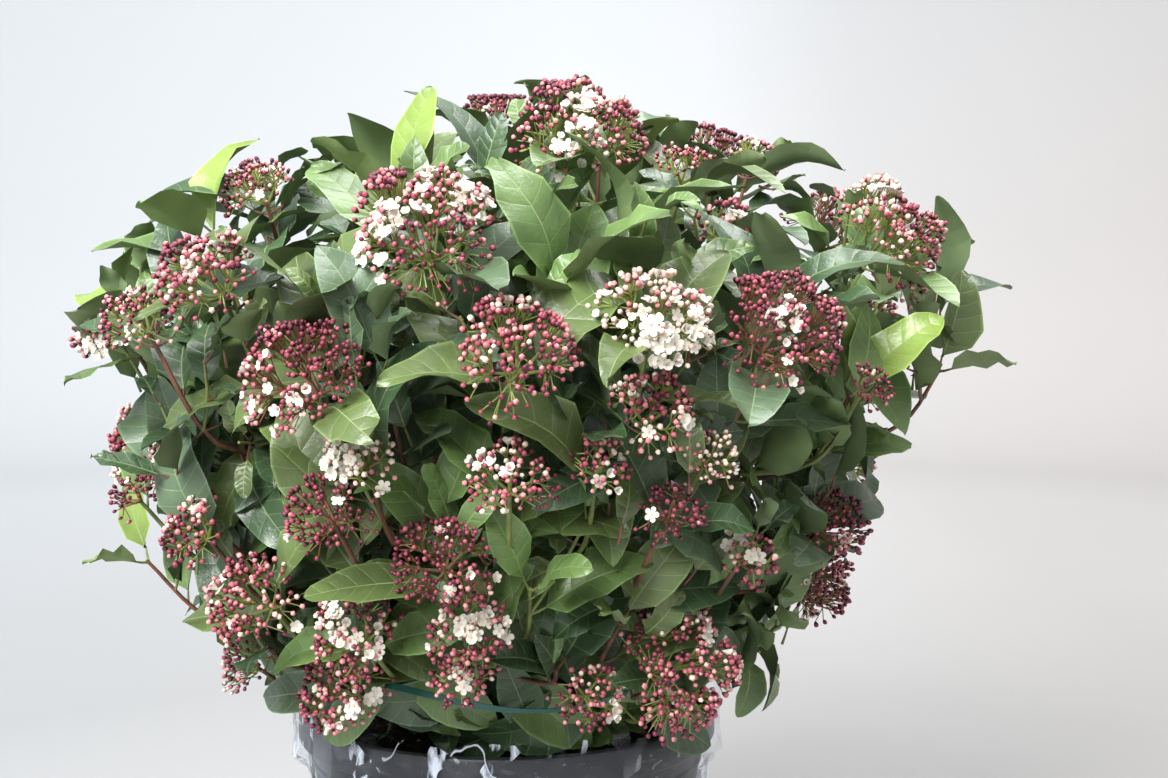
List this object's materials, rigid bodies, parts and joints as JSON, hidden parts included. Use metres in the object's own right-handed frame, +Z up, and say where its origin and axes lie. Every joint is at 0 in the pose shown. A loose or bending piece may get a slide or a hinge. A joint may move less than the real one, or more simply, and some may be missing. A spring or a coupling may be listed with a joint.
{
  "type": "potted flowering laurustinus shrub",
  "caption": "Dome-shaped evergreen flowering shrub with white, pink and crimson flower heads in a round black pot with clear film.",
  "frame": {"origin": "centre of the pot's flat underside", "axes": "+Z up along the pot's axis, -Y towards the pictured side, +X to its right"},
  "size_m": [0.5934, 0.5698, 0.6412],
  "materials": {
    "pot": "satin black moulded plastic",
    "compost": "matt, crumbly",
    "film": "clear, glossy, creased",
    "tie": "teal green, soft sheen",
    "bark": "matt grey-brown bark with fine ridges",
    "foliage": "dark green leaves with a waxy sheen"
  },
  "bodies": {
    "root": {"bough_back_low_1": "bark", "bough_back_low_2": "bark", "bough_back_low_3": "bark", "bough_back_low_4": "bark", "bough_back_low_5": "bark", "bough_back_low_6": "bark", "bough_back_top_1": "bark", "bough_back_top_2": "bark", "bough_back_upper_1": "bark", "bough_back_upper_2": "bark", "bough_back_upper_3": "bark", "bough_back_upper_4": "bark", "bough_back_upper_5": "bark", "bough_front_left": "bark", "bough_front_middle": "bark", "bough_front_right": "bark", "bough_front_upper": "bark", "bough_left_middle": "bark", "bough_left_shoulder": "bark", "bough_low_front": "bark", "bough_low_left": "bark", "bough_low_right": "bark", "bough_right_middle": "bark", "bough_right_shoulder": "bark", "bough_top": "bark", "bough_top_left": "bark", "bough_top_right": "bark", "clear_film": "film", "compost": "compost", "foliage_back_low_1": "foliage", "foliage_back_low_2": "foliage", "foliage_back_low_3": "foliage", "foliage_back_low_4": "foliage", "foliage_back_low_5": "foliage", "foliage_back_low_6": "foliage", "foliage_back_top_1": "foliage", "foliage_back_top_2": "foliage", "foliage_back_upper_1": "foliage", "foliage_back_upper_2": "foliage", "foliage_back_upper_3": "foliage", "foliage_back_upper_4": "foliage", "foliage_back_upper_5": "foliage", "foliage_front_left": "foliage", "foliage_front_middle": "foliage", "foliage_front_right": "foliage", "foliage_front_upper": "foliage", "foliage_left_middle": "foliage", "foliage_left_shoulder": "foliage", "foliage_low_front": "foliage", "foliage_low_left": "foliage", "foliage_low_right": "foliage", "foliage_right_middle": "foliage", "foliage_right_shoulder": "foliage", "foliage_top": "foliage", "foliage_top_left": "foliage", "foliage_top_right": "foliage", "green_tie": "tie", "main_stem": "bark", "pot": "pot"}
  },
  "joints": []
}
